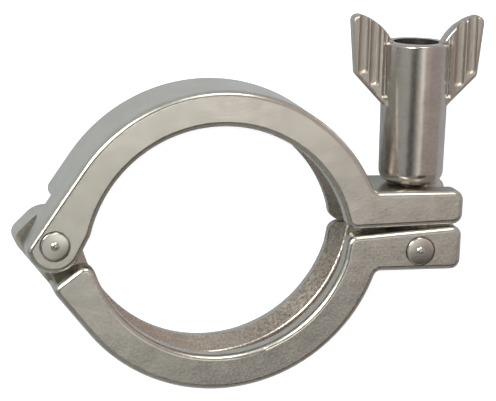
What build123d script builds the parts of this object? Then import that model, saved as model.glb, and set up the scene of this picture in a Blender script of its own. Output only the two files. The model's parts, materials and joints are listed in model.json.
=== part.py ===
"""A 2-inch sanitary hinged clamp: two grooved cast halves, a half-lap hinge, a swing bolt and a wing nut.

Millimetres, +Z up. The clamp lies on its rear face, as it comes to rest on a bench.
X runs from the hinge (-) to the bolt (+), Y along the bolt towards the wing nut,
Z along the axis of the pipe joint. The origin is the centre of the ring, at mid-width.
"""
import os
from dataclasses import dataclass
from math import atan2, cos, degrees, radians, sin, sqrt, tan

from build123d import *

# ---- ring: each half is an arc a little shorter than a half circle ----
WIDTH = 18.6             # along the pipe axis
BORE_R = 28.5            # inner radius of the lips
RIM_R = 36.2             # outer radius of the ring
ARC_SHIFT = 3.7          # each half's arc centre lies this far beyond the parting
EDGE_R = 1.2             # rounding of the long cast edges
SLOT_EDGE_R = 0.5        # rounding where a slot opens into a cast face

# ---- groove that draws the two ferrule flanges together ----
GROOVE_MOUTH = 12.0      # width at the lips
GROOVE_BOTTOM_R = 32.2
GROOVE_FLANK = 20.0      # degrees to the flange faces
GROOVE_CORNER_R = 0.8

# ---- hinge: a half lap, the upper half's tongue in front ----
HINGE_X = -35.5
LAP_Z = -0.6             # where the two tongues meet
LAP_GAP = 0.2
SHOULDER_REACH = 7.1     # from the hinge pin to the shoulder facing a tongue
SHOULDER_INNER_R = 2.4   # rounding of the shoulder's corner at the bore
TONGUE_START_Y = 2.0     # the tongue leaves the bore's arc here

# ---- lugs at the bolt side ----
LUG_END_X = 53.6
LUG_CORNER_R = 2.2
LUG_ROOT_R = 1.6
LIP_X = 28.0             # inner edge of the lips at the parting
LIP_STRAIGHT_Y = 4.5     # the lips run straight from here to the parting
LIP_CORNER_R = 2.5
SLOT_WIDTH = 8.4
FORK_ROOT_X = 39.8       # deepest point of the fork's round slot
CLEVIS_ROOT_X = 38.2     # flat end of the slot that takes the bolt's eye

# ---- pins, upset at both ends ----
PIN_R = 2.6
PIN_HEAD_R = 3.1
PIN_HEAD_DEPTH = 1.6
PIN_CROWN = 0.9
PIN_FRONT_DEPTH = 0.2    # the crown's edge below the front face
PIN_REAR_DEPTH = 0.05    # the rear head below the rear face
RUNNING = 0.05           # radial clearance of every pin in its hole
HEAD_SEAT_R = 3.3

# ---- swing bolt ----
BOLT_X = 44.15
BOLT_Y = -2.85
BOLT_LEAN = 0.4          # degrees towards the ring when tightened
SHANK_R = 3.95
EYE_R = 5.0
EYE_THICK = 8.0
BOLT_TIP = 36.0          # from the swing pin to the end
TIP_CHAMFER = 0.9

# ---- wing nut ----
NUT_BASE = 13.45         # from the swing pin to the seat
NUT_HEIGHT = 31.0
NUT_TURN = 6.0           # degrees the wings stand round from the ring's plane
NUT_R = 7.35             # at the rim
NUT_BASE_R = 7.05        # at the seat
NUT_FOOT_R = 2.9
NUT_RIM_R = 0.6
MOUTH_R = 5.0            # plain mouth above the thread
MOUTH_DEPTH = 7.0
WING_ROOT = (7.2, 17.4)     # points of a wing's outline: from the axis, above the seat
WING_ELBOW = (13.4, 23.9)
WING_TIP = (14.6, 36.8)
WING_CREST = (12.5, 36.8)
WING_TOP_MID = (9.2, 35.3)
WING_CORNER_R = 1.4
WING_FLARE_ANGLE = 38.0  # where a wing's face leaves the barrel, from the wing's middle plane
WING_FLARE_MID = (6.9, 3.05)   # along the wing, from its middle plane
WING_FLARE_INSET = 0.45  # the flare stays this far inside the wing's outline
WING_HALF = 2.15         # half the thickness
WING_FLARE_END = (8.9, WING_HALF)
WING_EDGE_R = 0.7
FLUTES = 3
FLUTE_PITCH = 2.5
FLUTE_FIRST = 6.9        # from the axis to the first flute
FLUTE_R = 1.15
FLUTE_DEPTH = 0.85
FLUTE_FOOT = 1.5         # lowest point of a flute above the wing's lower edge


@dataclass(frozen=True)
class HalfShape:
    """What differs between the halves, each seen above its own parting with its tongue in front."""

    lug_top: float         # seat height of the lug
    under_front: float     # underside at the ring, on the tongue's side of the lap
    under_back: float      # the same behind the lap
    under_end: float       # underside at the lug's end
    back_angle: float      # where the straight back leaves the rim, seen from the arc centre
    tongue_r: float        # round end of the tongue about the hinge pin
    nose_angle: float      # where the nose leaves the round end, seen from the hinge pin
    nose_r: float
    shoulder_tilt: float
    shoulder_r: float      # rounding of the shoulder's outer corner


UPPER = HalfShape(
    lug_top=10.4, under_front=2.1, under_back=0.9, under_end=2.95, back_angle=146.4,
    tongue_r=5.9, nose_angle=-160.0, nose_r=2.0, shoulder_tilt=25.0, shoulder_r=2.0)
LOWER = HalfShape(
    lug_top=7.2, under_front=-0.3, under_back=-0.75, under_end=-2.65, back_angle=140.5,
    tongue_r=5.2, nose_angle=-135.0, nose_r=2.5, shoulder_tilt=37.0, shoulder_r=1.7)


def polar(centre, radius, angle):
    """The point at an angle in degrees and a radius from a centre."""
    return (centre[0] + radius * cos(radians(angle)), centre[1] + radius * sin(radians(angle)))


def cross(p, p_angle, q, q_angle):
    """Where a line through p meets a line through q, each with its own direction in degrees."""
    ax, ay = cos(radians(p_angle)), sin(radians(p_angle))
    bx, by = cos(radians(q_angle)), sin(radians(q_angle))
    run = ((q[0] - p[0]) * by - (q[1] - p[1]) * bx) / (ax * by - ay * bx)
    return (p[0] + run * ax, p[1] + run * ay)


def round_corner(face, corner, radius):
    """Round the outline's corner nearest to a point."""
    near = face.vertices().sort_by_distance(Vector(*corner, 0))[0]
    return fillet(near, radius)


def half_outline(shape, under_ring):
    """The flat outline of a half that lies above the parting, its tongue at the left."""
    centre = (0.0, -ARC_SHIFT)
    pin = (HINGE_X, 0.0)
    back = polar(centre, RIM_R, shape.back_angle)
    root = (sqrt(RIM_R**2 - (shape.lug_top + ARC_SHIFT)**2), shape.lug_top)
    lip = (sqrt(BORE_R**2 - (LIP_STRAIGHT_Y + ARC_SHIFT)**2), LIP_STRAIGHT_Y)
    lip_corner = (LIP_X, under_ring)
    leave = (-sqrt(BORE_R**2 - (TONGUE_START_Y + ARC_SHIFT)**2), TONGUE_START_Y)
    heel = polar(pin, shape.tongue_r, -20.0)
    toe = polar(pin, shape.tongue_r, shape.nose_angle)
    bottom = polar(pin, shape.tongue_r, (shape.nose_angle - 20.0) / 2)
    nose = cross(toe, shape.nose_angle - 90.0, back, shape.back_angle - 90.0)
    path = [
        ThreePointArc(back, (0.0, RIM_R - ARC_SHIFT), root),
        Line(root, (LUG_END_X, shape.lug_top)),
        Line((LUG_END_X, shape.lug_top), (LUG_END_X, shape.under_end)),
        Line((LUG_END_X, shape.under_end), lip_corner),
        Line(lip_corner, lip),
        ThreePointArc(lip, (0.0, BORE_R - ARC_SHIFT), leave),
        Line(leave, heel),
        ThreePointArc(heel, bottom, toe),
        Line(toe, nose),
        Line(nose, back),
    ]
    face = make_face(Curve() + path)
    face = round_corner(face, root, LUG_ROOT_R)
    face = round_corner(face, (LUG_END_X, shape.lug_top), LUG_CORNER_R)
    face = round_corner(face, (LUG_END_X, shape.under_end), LUG_CORNER_R)
    face = round_corner(face, lip_corner, LIP_CORNER_R)
    face = round_corner(face, leave, 4.0)
    return round_corner(face, nose, shape.nose_r)


def short_outline(shape):
    """The outline behind the lap: it stops at the shoulder that faces the other tongue."""
    away = 90.0 - shape.shoulder_tilt
    pin = (HINGE_X, 0.0)
    foot = polar(pin, SHOULDER_REACH, away)
    hinge_side = Rectangle(40, 40, align=(Align.CENTER, Align.MAX))
    face = half_outline(shape, shape.under_back) - Pos(*foot) * Rot(0, 0, away - 90.0) * hinge_side
    face = face.faces()[0]
    back = polar((0.0, -ARC_SHIFT), RIM_R, shape.back_angle)
    outer = cross(foot, away - 90.0, back, shape.back_angle - 90.0)
    face = round_corner(face, outer, shape.shoulder_r)
    inner = (foot[0] + 3.0, foot[1] - 2.0)
    return round_corner(face, inner, SHOULDER_INNER_R)


def groove():
    """The ring-shaped space that the flanges fill, about the arc centre."""
    mouth = GROOVE_MOUTH / 2
    bottom = mouth - (GROOVE_BOTTOM_R - BORE_R) * tan(radians(GROOVE_FLANK))
    inside = BORE_R - 4.0
    section = Polyline(
        (inside, -mouth), (BORE_R, -mouth), (GROOVE_BOTTOM_R, -bottom),
        (GROOVE_BOTTOM_R, bottom), (BORE_R, mouth), (inside, mouth), close=True)
    face = make_face(section)
    corners = face.vertices().sort_by(Axis.X)[-2:]
    face = fillet(corners, GROOVE_CORNER_R)
    ring = revolve(Plane.XZ * face, Axis.Z, 360)
    return Pos(0, -ARC_SHIFT, 0) * ring


def casting(shape, tongue_thick):
    """One half above the parting: its tongue at the front left, its lug at the right."""
    lap = WIDTH / 2 - tongue_thick
    front = extrude(Pos(0, 0, lap) * half_outline(shape, shape.under_front), tongue_thick)
    front = fillet(front.faces().sort_by(Axis.Z)[-1].edges(), EDGE_R)
    back = extrude(Pos(0, 0, -WIDTH / 2) * short_outline(shape), WIDTH - tongue_thick)
    back = fillet(back.faces().sort_by(Axis.Z)[0].edges(), EDGE_R)
    return front + back - groove()


def cut_slot(body, slot):
    """Cut a slot and round the edges it leaves."""
    cut = body - slot
    return fillet(new_edges(body, slot, combined=cut), SLOT_EDGE_R)


def pin_hole(x, y):
    """A drilled hole right through, countersunk for the upset heads."""
    hole = Pos(x, y, 0) * Cylinder(PIN_R + RUNNING, WIDTH + 2)
    seat = Cylinder(HEAD_SEAT_R, PIN_HEAD_DEPTH + 1, align=(Align.CENTER, Align.CENTER, Align.MIN))
    start = WIDTH / 2 - PIN_HEAD_DEPTH
    return hole + Pos(x, y, start) * seat + Pos(x, y, -start) * Rot(180, 0, 0) * seat


def make_upper_half():
    """The half whose fork the tightened bolt lies in."""
    tongue = WIDTH / 2 - LAP_Z - LAP_GAP / 2
    body = casting(UPPER, tongue)
    half = SLOT_WIDTH / 2
    bend = FORK_ROOT_X + half
    slot = Pos(bend, 0, 0) * Rot(-90, 0, 0) * Cylinder(half, 40)
    slot += Pos(bend, 0, 0) * Box(30, 40, SLOT_WIDTH, align=(Align.MIN, Align.CENTER, Align.CENTER))
    return cut_slot(body, slot) - pin_hole(HINGE_X, 0.0)


def make_lower_half():
    """The half that carries the swing bolt between its two ears."""
    tongue = WIDTH / 2 + LAP_Z - LAP_GAP / 2
    body = Rot(180, 0, 0) * casting(LOWER, tongue)
    slot = Pos(CLEVIS_ROOT_X, 0, 0) * Box(30, 40, SLOT_WIDTH, align=(Align.MIN, Align.CENTER, Align.CENTER))
    return cut_slot(body, slot) - pin_hole(HINGE_X, 0.0) - pin_hole(BOLT_X, BOLT_Y)


def make_pin(x, y):
    """A pin with an upset, crowned head at the front and a flush one at the rear."""
    low, high = -WIDTH / 2 + PIN_REAR_DEPTH, WIDTH / 2 - PIN_FRONT_DEPTH
    shank = Pos(0, 0, low) * Cylinder(PIN_R, high - low, align=(Align.CENTER, Align.CENTER, Align.MIN))
    rear = Cylinder(PIN_HEAD_R, PIN_HEAD_DEPTH - PIN_REAR_DEPTH, align=(Align.CENTER, Align.CENTER, Align.MIN))
    rear = chamfer(rear.edges().sort_by(Axis.Z)[0], 0.4)
    crown_r = (PIN_HEAD_R**2 + PIN_CROWN**2) / (2 * PIN_CROWN)
    front = Cylinder(PIN_HEAD_R, PIN_HEAD_DEPTH + PIN_CROWN, align=(Align.CENTER, Align.CENTER, Align.MIN))
    front &= Pos(0, 0, PIN_HEAD_DEPTH - PIN_FRONT_DEPTH + PIN_CROWN - crown_r) * Sphere(crown_r)
    pin = shank + Pos(0, 0, low) * rear + Pos(0, 0, WIDTH / 2 - PIN_HEAD_DEPTH) * front
    return Pos(x, y, 0) * pin


def on_bolt(piece):
    """Place a piece made upright on the swing pin: its own Z becomes the bolt's line."""
    return Pos(BOLT_X, BOLT_Y, 0) * Rot(0, 0, BOLT_LEAN) * Rot(-90, 0, 0) * piece


def make_swing_bolt():
    """An eye bolt: a flat-sided eye on the swing pin and a round shank."""
    eye = Rot(90, 0, 0) * Cylinder(EYE_R, EYE_THICK)
    eye = fillet(eye.edges().filter_by(GeomType.CIRCLE), 0.5)
    shank = Cylinder(SHANK_R, BOLT_TIP, align=(Align.CENTER, Align.CENTER, Align.MIN))
    shank = chamfer(shank.edges().sort_by(Axis.Z)[-1], TIP_CHAMFER)
    body = eye + shank
    return on_bolt(body - Rot(90, 0, 0) * Cylinder(PIN_R + RUNNING, EYE_THICK + 2))


def wing_outline():
    """One wing seen from the front, its root buried in the barrel."""
    inside = 4.0
    rim = (NUT_R - 1.9, NUT_HEIGHT)
    slope = (WING_ELBOW[1] - WING_ROOT[1]) / (WING_ELBOW[0] - WING_ROOT[0])
    root_low = (inside, WING_ROOT[1] - slope * (WING_ROOT[0] - inside))
    root_high = (inside, NUT_HEIGHT - 1.0)
    path = [
        Line(root_low, WING_ELBOW),
        Line(WING_ELBOW, WING_TIP),
        Line(WING_TIP, WING_CREST),
        ThreePointArc(WING_CREST, WING_TOP_MID, rim),
        Line(rim, root_high),
        Line(root_high, root_low),
    ]
    face = make_face(Curve() + path)
    face = round_corner(face, WING_ELBOW, WING_CORNER_R)
    return round_corner(face, WING_TIP, WING_CORNER_R)


def wing_flare():
    """The thickening that carries both faces of a wing over into the barrel."""
    inside, reach = 3.0, 8.0
    start = polar((0.0, 0.0), NUT_BASE_R - 0.1, WING_FLARE_ANGLE)
    upper = [
        Line((inside, 0), (inside, start[1] - 1.0)),
        Line((inside, start[1] - 1.0), start),
        ThreePointArc(start, WING_FLARE_MID, WING_FLARE_END),
        Line(WING_FLARE_END, (WING_FLARE_END[0], 0)),
    ]
    lower = [mirror(piece, Plane.XZ) for piece in upper]
    section = make_face(Curve() + upper + lower)
    front = offset(wing_outline(), -WING_FLARE_INSET)
    return Rot(90, 0, 0) * extrude(front, reach, both=True) & extrude(section, 2 * NUT_HEIGHT)


def wing_face(u):
    """Distance of a wing's face from its middle plane, at a distance from the nut's axis."""
    mid, end = WING_FLARE_MID, WING_FLARE_END
    if u > end[0]:
        return WING_HALF
    return mid[1] + (end[1] - mid[1]) * (u - mid[0]) / (end[0] - mid[0])


def make_wing():
    """One wing with its finger flutes on both faces, standing along the nut's own Z."""
    wing = Rot(90, 0, 0) * extrude(wing_outline(), WING_HALF, both=True)
    rims = wing.faces().sort_by(Axis.Y)[0].outer_wire().edges()
    rims += wing.faces().sort_by(Axis.Y)[-1].outer_wire().edges()
    wing = fillet([e for e in rims if e.center().X > NUT_R], WING_EDGE_R) + wing_flare()
    slope = (WING_ELBOW[1] - WING_ROOT[1]) / (WING_ELBOW[0] - WING_ROOT[0])
    for i in range(FLUTES):
        u = FLUTE_FIRST + i * FLUTE_PITCH
        foot = WING_ROOT[1] + slope * (u - WING_ROOT[0]) + FLUTE_FOOT + FLUTE_R
        flute = Cylinder(FLUTE_R, NUT_HEIGHT, align=(Align.CENTER, Align.CENTER, Align.MIN)) + Sphere(FLUTE_R)
        away = wing_face(u) + FLUTE_R - FLUTE_DEPTH
        for side in (-1, 1):
            wing -= Pos(u, side * away, foot) * flute
    return wing


def make_wing_nut():
    """A tall cast barrel with two fluted wings and a plain mouth above the thread."""
    profile = Polyline(
        (0, 0), (NUT_BASE_R, 0), (NUT_R, NUT_HEIGHT), (0, NUT_HEIGHT), close=True)
    face = make_face(profile)
    face = round_corner(face, (NUT_BASE_R, 0), NUT_FOOT_R)
    face = round_corner(face, (NUT_R, NUT_HEIGHT), NUT_RIM_R)
    barrel = revolve(Plane.XZ * face, Axis.Z, 360)
    nut = barrel + make_wing() + Rot(0, 0, 180) * make_wing()
    nut -= Cylinder(SHANK_R + RUNNING, 3 * NUT_HEIGHT)
    mouth = Cylinder(MOUTH_R, MOUTH_DEPTH + 2, align=(Align.CENTER, Align.CENTER, Align.MIN))
    nut -= Pos(0, 0, NUT_HEIGHT - MOUTH_DEPTH) * mouth
    return on_bolt(Pos(0, 0, NUT_BASE) * Rot(0, 0, -NUT_TURN) * nut)


def main():
    """Build the six pieces and write one STEP file each."""
    pieces = {
        "upper_half": make_upper_half(),
        "lower_half": make_lower_half(),
        "hinge_pin": make_pin(HINGE_X, 0.0),
        "swing_pin": make_pin(BOLT_X, BOLT_Y),
        "swing_bolt": make_swing_bolt(),
        "wing_nut": make_wing_nut(),
    }
    os.makedirs("parts", exist_ok=True)
    for name, piece in pieces.items():
        piece.label = name
        export_step(piece, f"parts/{name}.step")


main()
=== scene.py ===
"""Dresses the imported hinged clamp: steel finishes, the bolt's thread, floor, light and camera.

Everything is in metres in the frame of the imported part: X from the hinge to the bolt,
Y along the bolt, Z along the pipe axis. The clamp lies on its rear face.
"""
import json
import logging
from dataclasses import dataclass, field
from enum import Enum
from math import cos, pi, radians, sin

import bpy
from mathutils import Matrix, Vector

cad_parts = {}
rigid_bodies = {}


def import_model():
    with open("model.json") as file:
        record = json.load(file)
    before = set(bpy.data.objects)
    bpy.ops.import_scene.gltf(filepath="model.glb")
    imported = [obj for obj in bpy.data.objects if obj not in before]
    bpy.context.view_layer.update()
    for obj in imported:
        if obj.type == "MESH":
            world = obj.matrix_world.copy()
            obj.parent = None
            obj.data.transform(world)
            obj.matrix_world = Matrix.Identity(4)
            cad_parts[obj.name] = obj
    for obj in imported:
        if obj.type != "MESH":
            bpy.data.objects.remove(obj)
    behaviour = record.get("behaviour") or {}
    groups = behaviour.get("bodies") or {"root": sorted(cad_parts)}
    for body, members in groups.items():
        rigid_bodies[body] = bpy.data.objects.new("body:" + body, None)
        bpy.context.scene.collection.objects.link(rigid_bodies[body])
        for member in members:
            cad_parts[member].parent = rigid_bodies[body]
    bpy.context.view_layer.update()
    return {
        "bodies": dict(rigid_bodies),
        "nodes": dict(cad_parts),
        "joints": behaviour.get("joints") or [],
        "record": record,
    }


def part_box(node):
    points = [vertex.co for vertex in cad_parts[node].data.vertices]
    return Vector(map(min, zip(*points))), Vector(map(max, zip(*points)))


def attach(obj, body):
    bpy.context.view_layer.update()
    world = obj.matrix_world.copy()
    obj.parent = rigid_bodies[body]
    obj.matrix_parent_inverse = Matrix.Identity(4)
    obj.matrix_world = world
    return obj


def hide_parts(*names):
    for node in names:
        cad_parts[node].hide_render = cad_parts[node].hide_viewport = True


LOG = logging.getLogger("hinged_clamp")
MM = 0.001
HINGE = (-35.5, 0.0)     # hinge pin's axis, millimetres
BOLT = (44.15, -2.85)    # swing pin's axis, millimetres
BOLT_LEAN = 0.4          # degrees that the bolt leans towards the ring
BOLT_LINE = (-sin(radians(BOLT_LEAN)), cos(radians(BOLT_LEAN)), 0.0)
GRAIN_RANGE = (0.3, 0.7)     # nearly all of a fine noise lies between these values
MOTTLE_RANGE = (0.35, 0.65)  # the same for a slow one
MOTTLE_SHARE = 0.4           # share of the tone's change that the slow mottle makes
CLOSING_R = 0.01             # radius of the ring that closes a crown, millimetres

Tree = bpy.types.NodeTree
Socket = bpy.types.NodeSocket
Colour = tuple[float, float, float]
Point = tuple[float, float, float]


class Surface(Enum):
    """The named finishes, which are also the record's material slots."""

    CAST = "cast_satin"
    NUT = "nut_polish"
    PIN = "pin_polish"
    BOLT = "bolt_turned"


def spread(tree: Tree, value: Socket, old: tuple[float, float], new: tuple[float, float]) -> Socket:
    """Stretch a value from one range to another and hold it there.

    Args:
        tree: the nodes to add to.
        value: the value to stretch.
        old: the two ends of its range, in either order.
        new: what the two ends become.

    Returns:
        The stretched value.
    """
    node = tree.nodes.new("ShaderNodeMapRange")
    numbers = (*old, *new)
    for name, number in zip(("From Min", "From Max", "To Min", "To Max"), numbers):
        node.inputs[name].default_value = number
    tree.links.new(value, node.inputs["Value"])
    return node.outputs["Result"]


def calculate(tree: Tree, operation: str, values: tuple[Socket | float, ...]) -> Socket:
    """One sum of two or three values.

    Args:
        tree: the nodes to add to.
        operation: Blender's name for the sum.
        values: linked or fixed values, in the node's order.

    Returns:
        The result.
    """
    node = tree.nodes.new("ShaderNodeMath")
    node.operation = operation
    for place, value in zip(node.inputs, values):
        if isinstance(value, float):
            place.default_value = value
        else:
            tree.links.new(value, place)
    return node.outputs[0]


def vector_sum(tree: Tree, operation: str, first: Socket, second: Point | Vector | None) -> Socket:
    """One sum of a linked vector and a fixed one.

    Args:
        tree: the nodes to add to.
        operation: Blender's name for the sum.
        first: the linked vector.
        second: the fixed vector, where the sum has one.

    Returns:
        The result, a number for a length or a dot product.
    """
    node = tree.nodes.new("ShaderNodeVectorMath")
    node.operation = operation
    tree.links.new(first, node.inputs[0])
    if second is not None:
        node.inputs[1].default_value = second
    return node.outputs["Value" if operation in ("LENGTH", "DOT_PRODUCT") else "Vector"]


def noise(tree: Tree, place: Socket, width: float, detail: float) -> Socket:
    """A noise of even lumps.

    Args:
        tree: the nodes to add to.
        place: the position on the piece.
        width: width of a lump in millimetres.
        detail: how many finer noises are laid over it.

    Returns:
        The noise, from 0 to 1.
    """
    node = tree.nodes.new("ShaderNodeTexNoise")
    node.inputs["Scale"].default_value = 1.0 / (width * MM)
    node.inputs["Detail"].default_value = detail
    tree.links.new(place, node.inputs["Vector"])
    return node.outputs["Fac"]


def blend_colours(tree: Tree, share: Socket, low: Socket | Colour, high: Colour,
                  mode: str) -> Socket:
    """Mix two colours.

    Args:
        tree: the nodes to add to.
        share: how much of the second colour shows.
        low: the first colour, linked or fixed.
        high: the second colour.
        mode: Blender's name for the mix.

    Returns:
        The mixed colour.
    """
    node = tree.nodes.new("ShaderNodeMix")
    node.data_type = "RGBA"
    node.blend_type = mode
    tree.links.new(share, node.inputs["Factor"])
    if isinstance(low, tuple):
        node.inputs["A"].default_value = (*low, 1.0)
    else:
        tree.links.new(low, node.inputs["A"])
    node.inputs["B"].default_value = (*high, 1.0)
    return node.outputs["Result"]


@dataclass(frozen=True)
class CastZone:
    """A part of a surface that is left rough, told by its distance from an axis.

    Args:
        centre: a point of the axis in millimetres.
        axis: the axis's direction.
        clear: distance from the axis at which the surface is still polished, in millimetres.
        full: distance at which it is as cast.
        half_width: how far the zone reaches along the axis from the centre.
        roughness: what the zone adds to the roughness.
        sand: width of the mould's grain in millimetres.
        sand_depth: height of that grain in millimetres.
        cast_tone_and_shade: what the polished tone is multiplied by in the zone, linear; the
            as-cast tone, and inside the ring also painted shade of the recess.
        fade: how softly the zone ends along the axis, in millimetres.
    """

    centre: Point
    axis: Point
    clear: float
    full: float
    half_width: float
    roughness: float
    sand: float
    sand_depth: float
    cast_tone_and_shade: Colour
    fade: float = 0.4

    def build(self, tree: Tree, place: Socket) -> Socket:
        """Make the nodes that tell the zone.

        Args:
            tree: the nodes to add to.
            place: the position on the piece.

        Returns:
            A value of 1 in the zone and 0 outside it.
        """
        offset = vector_sum(tree, "SUBTRACT", place, Vector(self.centre) * MM)
        across = vector_sum(tree, "CROSS_PRODUCT", offset, self.axis)
        away = vector_sum(tree, "LENGTH", across, None)
        along = vector_sum(tree, "DOT_PRODUCT", offset, self.axis)
        reach = calculate(tree, "ABSOLUTE", (along,))
        around = spread(tree, away, (self.clear * MM, self.full * MM), (0.0, 1.0))
        edge = self.half_width * MM
        within = spread(tree, reach, (edge, edge - self.fade * MM), (0.0, 1.0))
        return calculate(tree, "MULTIPLY", (around, within))


@dataclass(frozen=True)
class SteelFinish:
    """A bare stainless surface: its tone, its gloss and the grain left by the tumbling.

    Args:
        surface: which finish this is.
        light: the lighter tone of the metal, linear.
        dark: the darker tone of the mottle, linear.
        gloss: lowest and highest roughness.
        grain: width of the fine grain in millimetres.
        grain_depth: height of the fine grain in millimetres.
        swell: width of the casting's slow waves in millimetres.
        swell_depth: height of those waves in millimetres.
        zone: where the surface is left rough, as it was cast, and its tone changed; inside the ring
            that darker tone is painted shade.
    """

    surface: Surface
    light: Colour
    dark: Colour
    gloss: tuple[float, float]
    grain: float
    grain_depth: float
    swell: float
    swell_depth: float
    zone: CastZone | None = None

    def build(self) -> bpy.types.Material:
        """Make the node material.

        Returns:
            The finished material.
        """
        material = bpy.data.materials.new(self.surface.value)
        material.use_nodes = True
        tree = material.node_tree
        shader = tree.nodes["Principled BSDF"]
        shader.inputs["Metallic"].default_value = 1.0
        place = tree.nodes.new("ShaderNodeTexCoord").outputs["Object"]
        grain = noise(tree, place, self.grain, detail=3.0)
        mottle = noise(tree, place, self.swell, detail=4.0)
        slow = spread(tree, mottle, MOTTLE_RANGE, (0.0, MOTTLE_SHARE))
        fine = spread(tree, grain, GRAIN_RANGE, (0.0, 1.0 - MOTTLE_SHARE))
        share = calculate(tree, "ADD", (slow, fine))
        colour = blend_colours(tree, share, self.dark, self.light, "MIX")
        rough = spread(tree, grain, GRAIN_RANGE, self.gloss)
        swell = noise(tree, place, self.swell, detail=1.0)
        normal = self.bump(tree, swell, self.swell_depth, None)
        normal = self.bump(tree, grain, self.grain_depth, normal)
        if self.zone is not None:
            share = self.zone.build(tree, place)
            # Multiply in the zone's tone: the as-cast tone, and inside the ring painted shade of
            # the recess.
            colour = blend_colours(tree, share, colour, self.zone.cast_tone_and_shade, "MULTIPLY")
            rough = calculate(tree, "MULTIPLY_ADD", (share, self.zone.roughness, rough))
            sand = noise(tree, place, self.zone.sand, detail=2.0)
            height = calculate(tree, "MULTIPLY", (sand, share))
            normal = self.bump(tree, height, self.zone.sand_depth, normal)
        tree.links.new(colour, shader.inputs["Base Color"])
        tree.links.new(rough, shader.inputs["Roughness"])
        tree.links.new(normal, shader.inputs["Normal"])
        return material

    @staticmethod
    def bump(tree: Tree, height: Socket, depth: float, under: Socket | None) -> Socket:
        """Raise the surface by depth millimetres where height is 1.

        Args:
            tree: the nodes to add to.
            height: the relief, from 0 to 1.
            depth: its full height in millimetres.
            under: the normal of a coarser relief under it.

        Returns:
            The bent normal.
        """
        node = tree.nodes.new("ShaderNodeBump")
        node.inputs["Strength"].default_value = 1.0
        node.inputs["Distance"].default_value = depth * MM
        tree.links.new(height, node.inputs["Height"])
        if under is not None:
            tree.links.new(under, node.inputs["Normal"])
        return node.outputs["Normal"]


# Inside the ring: real as-cast roughness and sand, and a darker, warmer tone that is painted shade
# of the recess.
GROOVE = CastZone((0.0, 0.0, 0.0), (0.0, 0.0, 1.0), clear=32.3, full=31.2, half_width=6.6,
                  roughness=0.04, sand=0.8, sand_depth=0.03, cast_tone_and_shade=(0.84, 0.77, 0.75))
WINGS = CastZone((*BOLT, 0.0), BOLT_LINE, clear=7.3, full=8.1, half_width=80.0,
                 roughness=0.20, sand=0.35, sand_depth=0.036, cast_tone_and_shade=(0.96, 0.95, 0.92))
FINISHES = (
    SteelFinish(Surface.CAST, (0.65, 0.63, 0.565), (0.52, 0.50, 0.445), (0.20, 0.27),
                grain=0.55, grain_depth=0.0105, swell=6.0, swell_depth=0.05, zone=GROOVE),
    SteelFinish(Surface.NUT, (0.59, 0.55, 0.51), (0.50, 0.46, 0.42), (0.18, 0.25),
                grain=0.6, grain_depth=0.009, swell=5.0, swell_depth=0.05, zone=WINGS),
    SteelFinish(Surface.PIN, (0.60, 0.58, 0.53), (0.57, 0.55, 0.50), (0.13, 0.17),
                grain=0.6, grain_depth=0.001, swell=4.0, swell_depth=0.003),
    SteelFinish(Surface.BOLT, (0.58, 0.56, 0.52), (0.55, 0.53, 0.49), (0.22, 0.30),
                grain=0.3, grain_depth=0.004, swell=3.0, swell_depth=0.01),
)


@dataclass
class CatalogueCamera:
    """The camera that looks down on the lying clamp, its picture's top towards the wing nut.

    Args:
        yaw: degrees that the view is turned from the hinge side.
        pitch: degrees that the view comes from the wing nut's side.
        roll: degrees that the picture is turned.
        distance: from the camera to the ring's centre plane, in millimetres.
        focal: focal length in widths of the picture.
        sensor: width of the sensor in millimetres.
        clip: nearest and farthest distance that is seen, in metres.
        aim: the point of the centre plane that the camera looks at, in millimetres.
    """

    yaw: float = 13.77
    pitch: float = 12.37
    roll: float = 1.99
    distance: float = 431.7
    focal: float = 4.0322581
    sensor: float = 36.0
    clip: tuple[float, float] = (0.01, 20.0)
    aim: tuple[float, float] = (7.59, 6.99)

    def build(self) -> bpy.types.Object:
        """Make the camera and set it as the scene's.

        Returns:
            The camera object.
        """
        yaw, pitch, roll = radians(self.yaw), radians(self.pitch), radians(self.roll)
        ahead = Vector((sin(yaw) * cos(pitch), -sin(pitch), -cos(yaw) * cos(pitch)))
        level = Vector((cos(yaw), 0.0, sin(yaw)))
        rise = level.cross(ahead)
        right = level * cos(roll) + rise * sin(roll)
        up = rise * cos(roll) - level * sin(roll)
        place = Vector((self.aim[0], self.aim[1], 0.0)) * MM - ahead * self.distance * MM
        data = bpy.data.cameras.new("catalogue_camera")
        data.sensor_width = self.sensor
        data.lens = self.focal * self.sensor
        data.clip_start, data.clip_end = self.clip
        camera = bpy.data.objects.new("catalogue_camera", data)
        bpy.context.scene.collection.objects.link(camera)
        turn = Matrix((right, up, -ahead)).transposed().to_4x4()
        camera.matrix_world = Matrix.Translation(place) @ turn
        bpy.context.scene.camera = camera
        return camera


def soft_step(tree: Tree, value: Socket, low: float, high: float) -> Socket:
    """A soft step.

    Args:
        tree: the nodes to add to.
        value: the value to follow.
        low: where the step begins.
        high: where it ends.

    Returns:
        A value from 0 to 1.
    """
    node = tree.nodes.new("ShaderNodeMapRange")
    node.interpolation_type = "SMOOTHSTEP"
    node.inputs["From Min"].default_value = low
    node.inputs["From Max"].default_value = high
    tree.links.new(value, node.inputs["Value"])
    return node.outputs["Result"]


def weighted_total(tree: Tree, parts: list[tuple[Socket, float]]) -> Socket:
    """Add several values, each with its own weight.

    Args:
        tree: the nodes to add to.
        parts: the values with their weights.

    Returns:
        The total.
    """
    total: Socket | float = 0.0
    for value, weight in parts:
        total = calculate(tree, "MULTIPLY_ADD", (value, weight, total))
    return total


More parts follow.
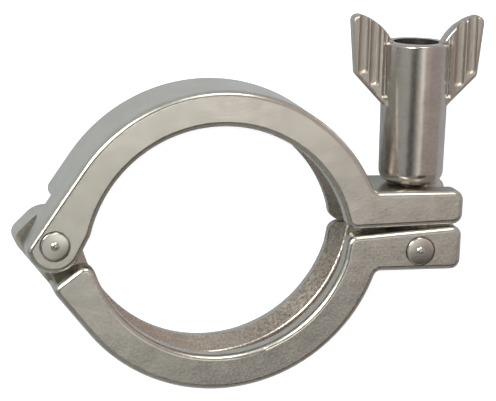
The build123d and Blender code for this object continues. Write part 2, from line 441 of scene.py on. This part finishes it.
@dataclass(frozen=True)
class Patch:
    """A round patch of the surround with a soft edge.

    Args:
        towards: its direction from the clamp.
        core: half angle of its even middle, in degrees.
        reach: half angle at which it has faded out, in degrees.
        strength: what it adds to the surround, or takes away where negative.
    """

    towards: Point
    core: float
    reach: float
    strength: float

    def build(self, tree: Tree, way: Socket) -> tuple[Socket, float]:
        """Make the nodes that tell the patch.

        Args:
            tree: the surround's nodes.
            way: the way out of the scene.

        Returns:
            How far a way lies in the patch, from 0 to 1, and the patch's strength.
        """
        cosine = vector_sum(tree, "DOT_PRODUCT", way, Vector(self.towards).normalized())
        edge = soft_step(tree, cosine, cos(radians(self.reach)), cos(radians(self.core)))
        return edge, self.strength


@dataclass(frozen=True)
class SoftBox:
    """A square lamp that faces the clamp.

    Args:
        place: its centre in metres.
        size: its side in metres.
        power: its power in watts.
    """

    place: Point = (-0.55, 0.60, 0.85)
    size: float = 0.6
    power: float = 2.0

    def build(self) -> bpy.types.Object:
        """Hang the lamp.

        Returns:
            The lamp object.
        """
        data = bpy.data.lights.new("soft_box", "AREA")
        data.shape = "SQUARE"
        data.size = self.size
        data.energy = self.power
        lamp = bpy.data.objects.new("soft_box", data)
        bpy.context.scene.collection.objects.link(lamp)
        lamp.location = self.place
        lamp.rotation_euler = Vector(self.place).to_track_quat("Z", "Y").to_euler()
        return lamp


@dataclass
class Studio:
    """A pale floor and the surround of a small product studio.

    Args:
        floor_half: half the floor's side in metres.
        floor_tone: colour of the floor, linear.
        floor_roughness: roughness of the floor.
        floor_shine: strength of its plain reflection.
        floor_glow: what the floor adds for the camera, for reflections and through glass.
        surround: strength of the plain walls.
        darkest: strength that no part of the surround falls below.
        ceiling: what the lit ceiling adds.
        ceiling_edge: rise along Y at which the ceiling begins and is full.
        left_tone: colour of the surround on the hinge side.
        right_tone: colour of the surround on the bolt side.
        tone_edge: share along X at which the colour begins to turn and has turned.
        lamp: the soft box.
        patches: windows, lamps and dark things seen by the metal.
    """

    floor_half: float = 3.0
    floor_tone: Colour = (0.46, 0.49, 0.53)
    floor_roughness: float = 0.9
    floor_shine: float = 0.2
    floor_glow: tuple[float, float, float] = (0.90, 0.06, 0.06)
    surround: float = 0.31
    darkest: float = 0.05
    ceiling: float = 0.22
    ceiling_edge: tuple[float, float] = (-0.40, -0.05)
    left_tone: Colour = (1.0, 1.0, 0.96)
    right_tone: Colour = (1.0, 0.88, 0.86)
    tone_edge: tuple[float, float] = (0.18, 0.36)
    lamp: SoftBox = SoftBox()
    patches: tuple[Patch, ...] = (
        Patch((-0.52, 0.46, 0.72), 7.0, 15.0, 12.0),
        Patch((0.20, 0.74, 0.64), 5.0, 12.0, 9.0),
        Patch((-0.36, -0.24, 0.90), 7.0, 15.0, -0.35),
        Patch((0.37, -0.38, 0.85), 7.0, 19.0, -0.50),
        Patch((0.21, -0.11, 0.97), 3.0, 8.0, 0.9),
        Patch((0.12, -0.28, 0.95), 4.0, 12.0, 0.32),
        Patch((0.42, -0.15, 0.89), 5.0, 14.0, 0.40),
        Patch((-0.18, 0.16, 0.97), 9.0, 18.0, -1.0),
        Patch((-0.97, -0.20, 0.0), 8.0, 24.0, -0.15),
        Patch((0.10, -0.02, 0.99), 1.5, 3.0, 7.0),
    )

    def build(self, floor_z: float) -> None:
        """Make the floor, the surround and the lamp.

        Args:
            floor_z: height that the clamp rests on, in metres.
        """
        self.make_floor(floor_z)
        self.make_surround()
        self.lamp.build()
        LOG.info("built the studio with %d patches", len(self.patches))

    def make_floor(self, floor_z: float) -> None:
        """Lay a plain pale floor just under the clamp.

        Args:
            floor_z: its height in metres.
        """
        half = self.floor_half
        corners = [(-half, -half), (half, -half), (half, half), (-half, half)]
        mesh = bpy.data.meshes.new("floor")
        mesh.from_pydata([(x, y, floor_z) for x, y in corners], [], [(0, 1, 2, 3)])
        floor = bpy.data.objects.new("floor", mesh)
        bpy.context.scene.collection.objects.link(floor)
        mesh.materials.append(self.floor_material())

    def floor_material(self) -> bpy.types.Material:
        """A matt white that is lifted for the camera, and a little for reflections.

        Returns:
            The floor's material.
        """
        material = bpy.data.materials.new("white_floor")
        material.use_nodes = True
        tree = material.node_tree
        shader = tree.nodes["Principled BSDF"]
        shader.inputs["Base Color"].default_value = (*self.floor_tone, 1.0)
        shader.inputs["Roughness"].default_value = self.floor_roughness
        shader.inputs["Specular IOR Level"].default_value = self.floor_shine
        shader.inputs["Emission Color"].default_value = (1.0, 1.0, 1.0, 1.0)
        path = tree.nodes.new("ShaderNodeLightPath").outputs
        rays = (path["Is Camera Ray"], path["Is Glossy Ray"], path["Is Transmission Ray"])
        seen = weighted_total(tree, list(zip(rays, self.floor_glow)))
        tree.links.new(seen, shader.inputs["Emission Strength"])
        return material

    def make_surround(self) -> None:
        """Plain walls, a ceiling that is lit beyond the ring, and the patches."""
        world = bpy.data.worlds.new("surround")
        bpy.context.scene.world = world
        world.use_nodes = True
        tree = world.node_tree
        way = tree.nodes.new("ShaderNodeTexCoord").outputs["Generated"]
        rise = vector_sum(tree, "DOT_PRODUCT", way, (0.0, 1.0, 0.0))
        parts = [(soft_step(tree, rise, *self.ceiling_edge), self.ceiling)]
        parts += [patch.build(tree, way) for patch in self.patches]
        total = calculate(tree, "ADD", (weighted_total(tree, parts), self.surround))
        strength = calculate(tree, "MAXIMUM", (total, self.darkest))
        side = vector_sum(tree, "DOT_PRODUCT", way, (1.0, 0.0, 0.0))
        turned = soft_step(tree, side, *self.tone_edge)
        tone = blend_colours(tree, turned, self.left_tone, self.right_tone, "MIX")
        back = tree.nodes["Background"]
        tree.links.new(tone, back.inputs["Color"])
        tree.links.new(strength, back.inputs["Strength"])


@dataclass
class TurnedMesh:
    """Vertices and faces of turned shapes, collected into one piece.

    Args:
        sides: number of flat sides round every turned shape.
        vertices: corners so far, in metres.
        faces: faces so far.
    """

    sides: int = 64
    vertices: list[Vector] = field(default_factory=list)
    faces: list[tuple[int, ...]] = field(default_factory=list)

    def add_rows(self, rows: list[list[Vector]], capped: bool) -> None:
        """Join rows of corners into a skin.

        Args:
            rows: the rows in order, each once round the shape.
            capped: whether the first and last rows are closed with a face each.
        """
        first = len(self.vertices)
        for row in rows:
            self.vertices.extend(row)
        for level in range(len(rows) - 1 if capped else len(rows)):
            low = first + level * self.sides
            high = first + (level + 1) % len(rows) * self.sides
            for side in range(self.sides):
                after = (side + 1) % self.sides
                self.faces.append((low + side, low + after, high + after, high + side))
        if capped:
            self.faces.append(tuple(first + side for side in reversed(range(self.sides))))
            last = first + (len(rows) - 1) * self.sides
            self.faces.append(tuple(last + side for side in range(self.sides)))

    def add_turned(self, profile: list[tuple[float, float]], place: Matrix,
                   capped: bool) -> None:
        """Turn (radius, height) points in mm round the place's Z; capped closes both ends."""
        rows = [self.row(place, [radius] * self.sides, height) for radius, height in profile]
        self.add_rows(rows, capped)

    def row(self, place: Matrix, radii: list[float], height: float) -> list[Vector]:
        """One ring of corners.

        Args:
            place: the shape's frame, in millimetres.
            radii: the ring's radius at every side.
            height: its height in the frame.

        Returns:
            The corners in metres.
        """
        up = Vector((0.0, 0.0, height))
        return [place @ (self.around(side) * radius + up) * MM
                for side, radius in enumerate(radii)]

    def around(self, side: int) -> Vector:
        """The unit vector of one side, across the axis."""
        angle = 2.0 * pi * side / self.sides
        return Vector((cos(angle), sin(angle), 0.0))

    def build(self, name: str, material: bpy.types.Material, sharp: float) -> bpy.types.Object:
        """Make the object.

        Args:
            name: the piece's name.
            material: its finish.
            sharp: edges that bend more than this many degrees stay sharp.

        Returns:
            The new object.
        """
        mesh = bpy.data.meshes.new(name)
        mesh.from_pydata(self.vertices, [], self.faces)
        mesh.shade_smooth()
        mesh.set_sharp_from_angle(angle=radians(sharp))
        mesh.materials.append(material)
        piece = bpy.data.objects.new(name, mesh)
        bpy.context.scene.collection.objects.link(piece)
        return piece


@dataclass
class RivetPin:
    """A pin upset at both ends, with a flat front head and a small polished crown in its middle.

    Args:
        node: the CAD node it stands for.
        centre: its axis in millimetres.
        shank_r: radius of its shank.
        head_r: radius of both heads.
        head_depth: how deep each head sits in the clamp.
        rear: the rear head's face, in millimetres from the centre plane.
        rear_flat_r: radius of the face that closes the rear end.
        rear_chamfer: chamfer round that end.
        front: the clamp's front face, from the centre plane.
        edge_r: rounding of the front head's edge.
        edge_sunk: how far under the clamp's face that rounding begins.
        edge_steps: steps in that rounding.
        face: radius and height over the clamp's face, outside and inside the head's flat.
        crown_r: radius of the crown's sphere.
        crown_half: half the angle that the crown spans, in degrees.
        crown_sunk: how far under the clamp's face the sphere's centre lies.
        crown_steps: steps from the crown's foot to its top.
        sharp: edges that bend more than this many degrees stay sharp.
    """

    node: str
    centre: tuple[float, float]
    shank_r: float = 2.6
    head_r: float = 3.1
    head_depth: float = 1.6
    rear: float = -9.25
    rear_flat_r: float = 0.6
    rear_chamfer: float = 0.4
    front: float = 9.3
    edge_r: float = 0.35
    edge_sunk: float = 0.15
    edge_steps: int = 6
    face: tuple[tuple[float, float], ...] = ((2.6, 0.21), (0.95, 0.23))
    crown_r: float = 1.45
    crown_half: float = 40.0
    crown_sunk: float = 0.86
    crown_steps: int = 8
    sharp: float = 20.0

    def profile(self) -> list[tuple[float, float]]:
        """The pin's outline from the rear to the crown.

        Returns:
            Points of radius and height in millimetres.
        """
        seat = self.front - self.head_depth
        edge = self.front - self.edge_sunk
        points = [(self.rear_flat_r, self.rear), (self.head_r - self.rear_chamfer, self.rear),
                  (self.head_r, self.rear + self.rear_chamfer), (self.head_r, -seat),
                  (self.shank_r, -seat), (self.shank_r, seat), (self.head_r, seat),
                  (self.head_r, edge)]
        for step in range(1, self.edge_steps + 1):
            turn = radians(90.0 * step / self.edge_steps)
            points.append((self.head_r - self.edge_r + self.edge_r * cos(turn),
                           edge + self.edge_r * sin(turn)))
        points += [(radius, self.front + rise) for radius, rise in self.face]
        for step in range(self.crown_steps, -1, -1):
            turn = radians(self.crown_half * step / self.crown_steps)
            points.append((self.crown_r * sin(turn) + CLOSING_R,
                           self.front - self.crown_sunk + self.crown_r * cos(turn)))
        return points

    def build(self, material: bpy.types.Material) -> bpy.types.Object:
        """Turn the pin and let it stand for its node.

        Args:
            material: the pins' finish.

        Returns:
            The pin's object.
        """
        mesh = TurnedMesh()
        place = Matrix.Translation((self.centre[0], self.centre[1], 0.0))
        mesh.add_turned(self.profile(), place, True)
        piece = mesh.build(f"{self.node}_rivet", material, self.sharp)
        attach(piece, "lower_half")
        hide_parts(self.node)
        LOG.info("turned %s", piece.name)
        return piece


@dataclass
class EyeBolt:
    """The swing bolt: a rounded eye on its pin and a shank with a rolled thread.

    Args:
        centre: the eye's axis in millimetres.
        lean: degrees that the shank leans towards the ring.
        sides: number of flat sides round the bolt.
        eye: inner radius, outer radius and half thickness of the eye.
        eye_edge: how far the rounding of its outer edges reaches, and how far its middle does.
        eye_chamfer: chamfer of its bore.
        shank_r: radius of the shank and of the thread's crests.
        plain_rows: distances from the eye's axis to the rows of corners before the thread.
        thread_from: distance from the eye's axis to the thread's first turn.
        run_in: length in which the thread comes to its full depth.
        pitch: the thread's pitch.
        pitch_rows: rows of corners in one pitch.
        thread_depth: depth of the thread.
        flank: slope of the thread's flanks, and how much the crests cut off, in depths.
        tip: distance from the eye's axis to the shank's end.
        tip_chamfer: chamfer round that end.
        sharp: edges that bend more than this many degrees stay sharp.
    """

    centre: tuple[float, float] = BOLT
    lean: float = BOLT_LEAN
    sides: int = 48
    eye: tuple[float, float, float] = (2.65, 5.0, 4.0)
    eye_edge: tuple[float, float] = (0.5, 0.15)
    eye_chamfer: float = 0.3
    shank_r: float = 3.95
    plain_rows: tuple[float, ...] = (3.0, 6.0)
    thread_from: float = 10.0
    run_in: float = 2.0
    pitch: float = 1.25
    pitch_rows: int = 10
    thread_depth: float = 0.62
    flank: tuple[float, float] = (2.6, 0.2)
    tip: float = 36.0
    tip_chamfer: float = 0.9
    sharp: float = 35.0

    def radius(self, height: float, turn: float) -> float:
        """Radius of the shank at a height and a share of a turn.

        Args:
            height: distance from the eye's axis in millimetres.
            turn: share of a full turn round the shank.

        Returns:
            The radius in millimetres.
        """
        phase = (height / self.pitch - turn) % 1.0
        slope, crest = self.flank
        flank = min(1.0, max(0.0, abs(phase - 0.5) * slope - crest))
        grown = min(1.0, max(0.0, (height - self.thread_from) / self.run_in))
        tip_limit = self.shank_r - max(0.0, height - (self.tip - self.tip_chamfer))
        return min(self.shank_r - self.thread_depth * flank * grown, tip_limit)

    def shank(self, place: Matrix, mesh: TurnedMesh) -> list[list[Vector]]:
        """Rows of corners up the shank, close together along the thread.

        Args:
            place: the bolt's frame, its Z up the shank.
            mesh: the mesh that the rows are for.

        Returns:
            The rows, from the eye to the tip.
        """
        rise = self.pitch / self.pitch_rows
        steps = round((self.tip - self.thread_from) / rise)
        heights = [*self.plain_rows, *(self.thread_from + rise * step for step in range(steps + 1))]
        turns = [side / mesh.sides for side in range(mesh.sides)]
        return [mesh.row(place, [self.radius(height, turn) for turn in turns], height)
                for height in heights]

    def ring(self) -> list[tuple[float, float]]:
        """The eye's section, closed.

        Returns:
            Points of radius and height in millimetres.
        """
        inner, outer, half = self.eye
        reach, middle = self.eye_edge
        front = [(inner + self.eye_chamfer, half), (outer - reach, half),
                 (outer - middle, half - middle), (outer, half - reach)]
        rear = [(radius, -height) for radius, height in front]
        bore = half - self.eye_chamfer
        return [*rear, *reversed(front), (inner, bore), (inner, -bore)]

    def build(self, material: bpy.types.Material) -> bpy.types.Object:
        """Make the bolt and let it stand for its node.

        Args:
            material: the bolt's finish.

        Returns:
            The bolt's object.
        """
        mesh = TurnedMesh(self.sides)
        eye = Matrix.Translation((self.centre[0], self.centre[1], 0.0))
        leaning = eye @ Matrix.Rotation(radians(self.lean), 4, "Z")
        upright = leaning @ Matrix.Rotation(radians(-90.0), 4, "X")
        mesh.add_turned(self.ring(), eye, False)
        mesh.add_rows(self.shank(upright, mesh), True)
        piece = mesh.build("eye_bolt", material, self.sharp)
        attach(piece, "swing_bolt")
        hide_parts("swing_bolt")
        LOG.info("threaded %s over %.1f mm", piece.name, self.tip - self.thread_from)
        return piece


@dataclass
class DressedNodes:
    """Gives the CAD nodes of one finish their material.

    Args:
        finish: the finish that they get.
        nodes: their names.
    """

    finish: Surface
    nodes: tuple[str, ...]

    def build(self, frame: dict, materials: dict[Surface, bpy.types.Material]) -> None:
        """Assign the finish to every node.

        Args:
            frame: what the frame's load gave.
            materials: the finished materials.
        """
        for name in self.nodes:
            node = frame["nodes"][name]
            node.data.materials.clear()
            node.data.materials.append(materials[self.finish])
            LOG.info("dressed %s in %s", name, self.finish.value)


def main() -> None:
    """Load the frame, make the camera, dress every piece and set the studio."""
    logging.basicConfig(level=logging.INFO, format="%(message)s")
    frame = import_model()
    CatalogueCamera().build()
    materials = {finish.surface: finish.build() for finish in FINISHES}
    DressedNodes(Surface.CAST, ("upper_half", "lower_half")).build(frame, materials)
    DressedNodes(Surface.NUT, ("wing_nut",)).build(frame, materials)
    for pin in (RivetPin("hinge_pin", HINGE), RivetPin("swing_pin", BOLT)):
        pin.build(materials[Surface.PIN])
    EyeBolt().build(materials[Surface.BOLT])
    Studio().build(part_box("lower_half")[0].z)
    bpy.context.scene.view_settings.view_transform = "Standard"


if __name__ == "__main__":
    main()
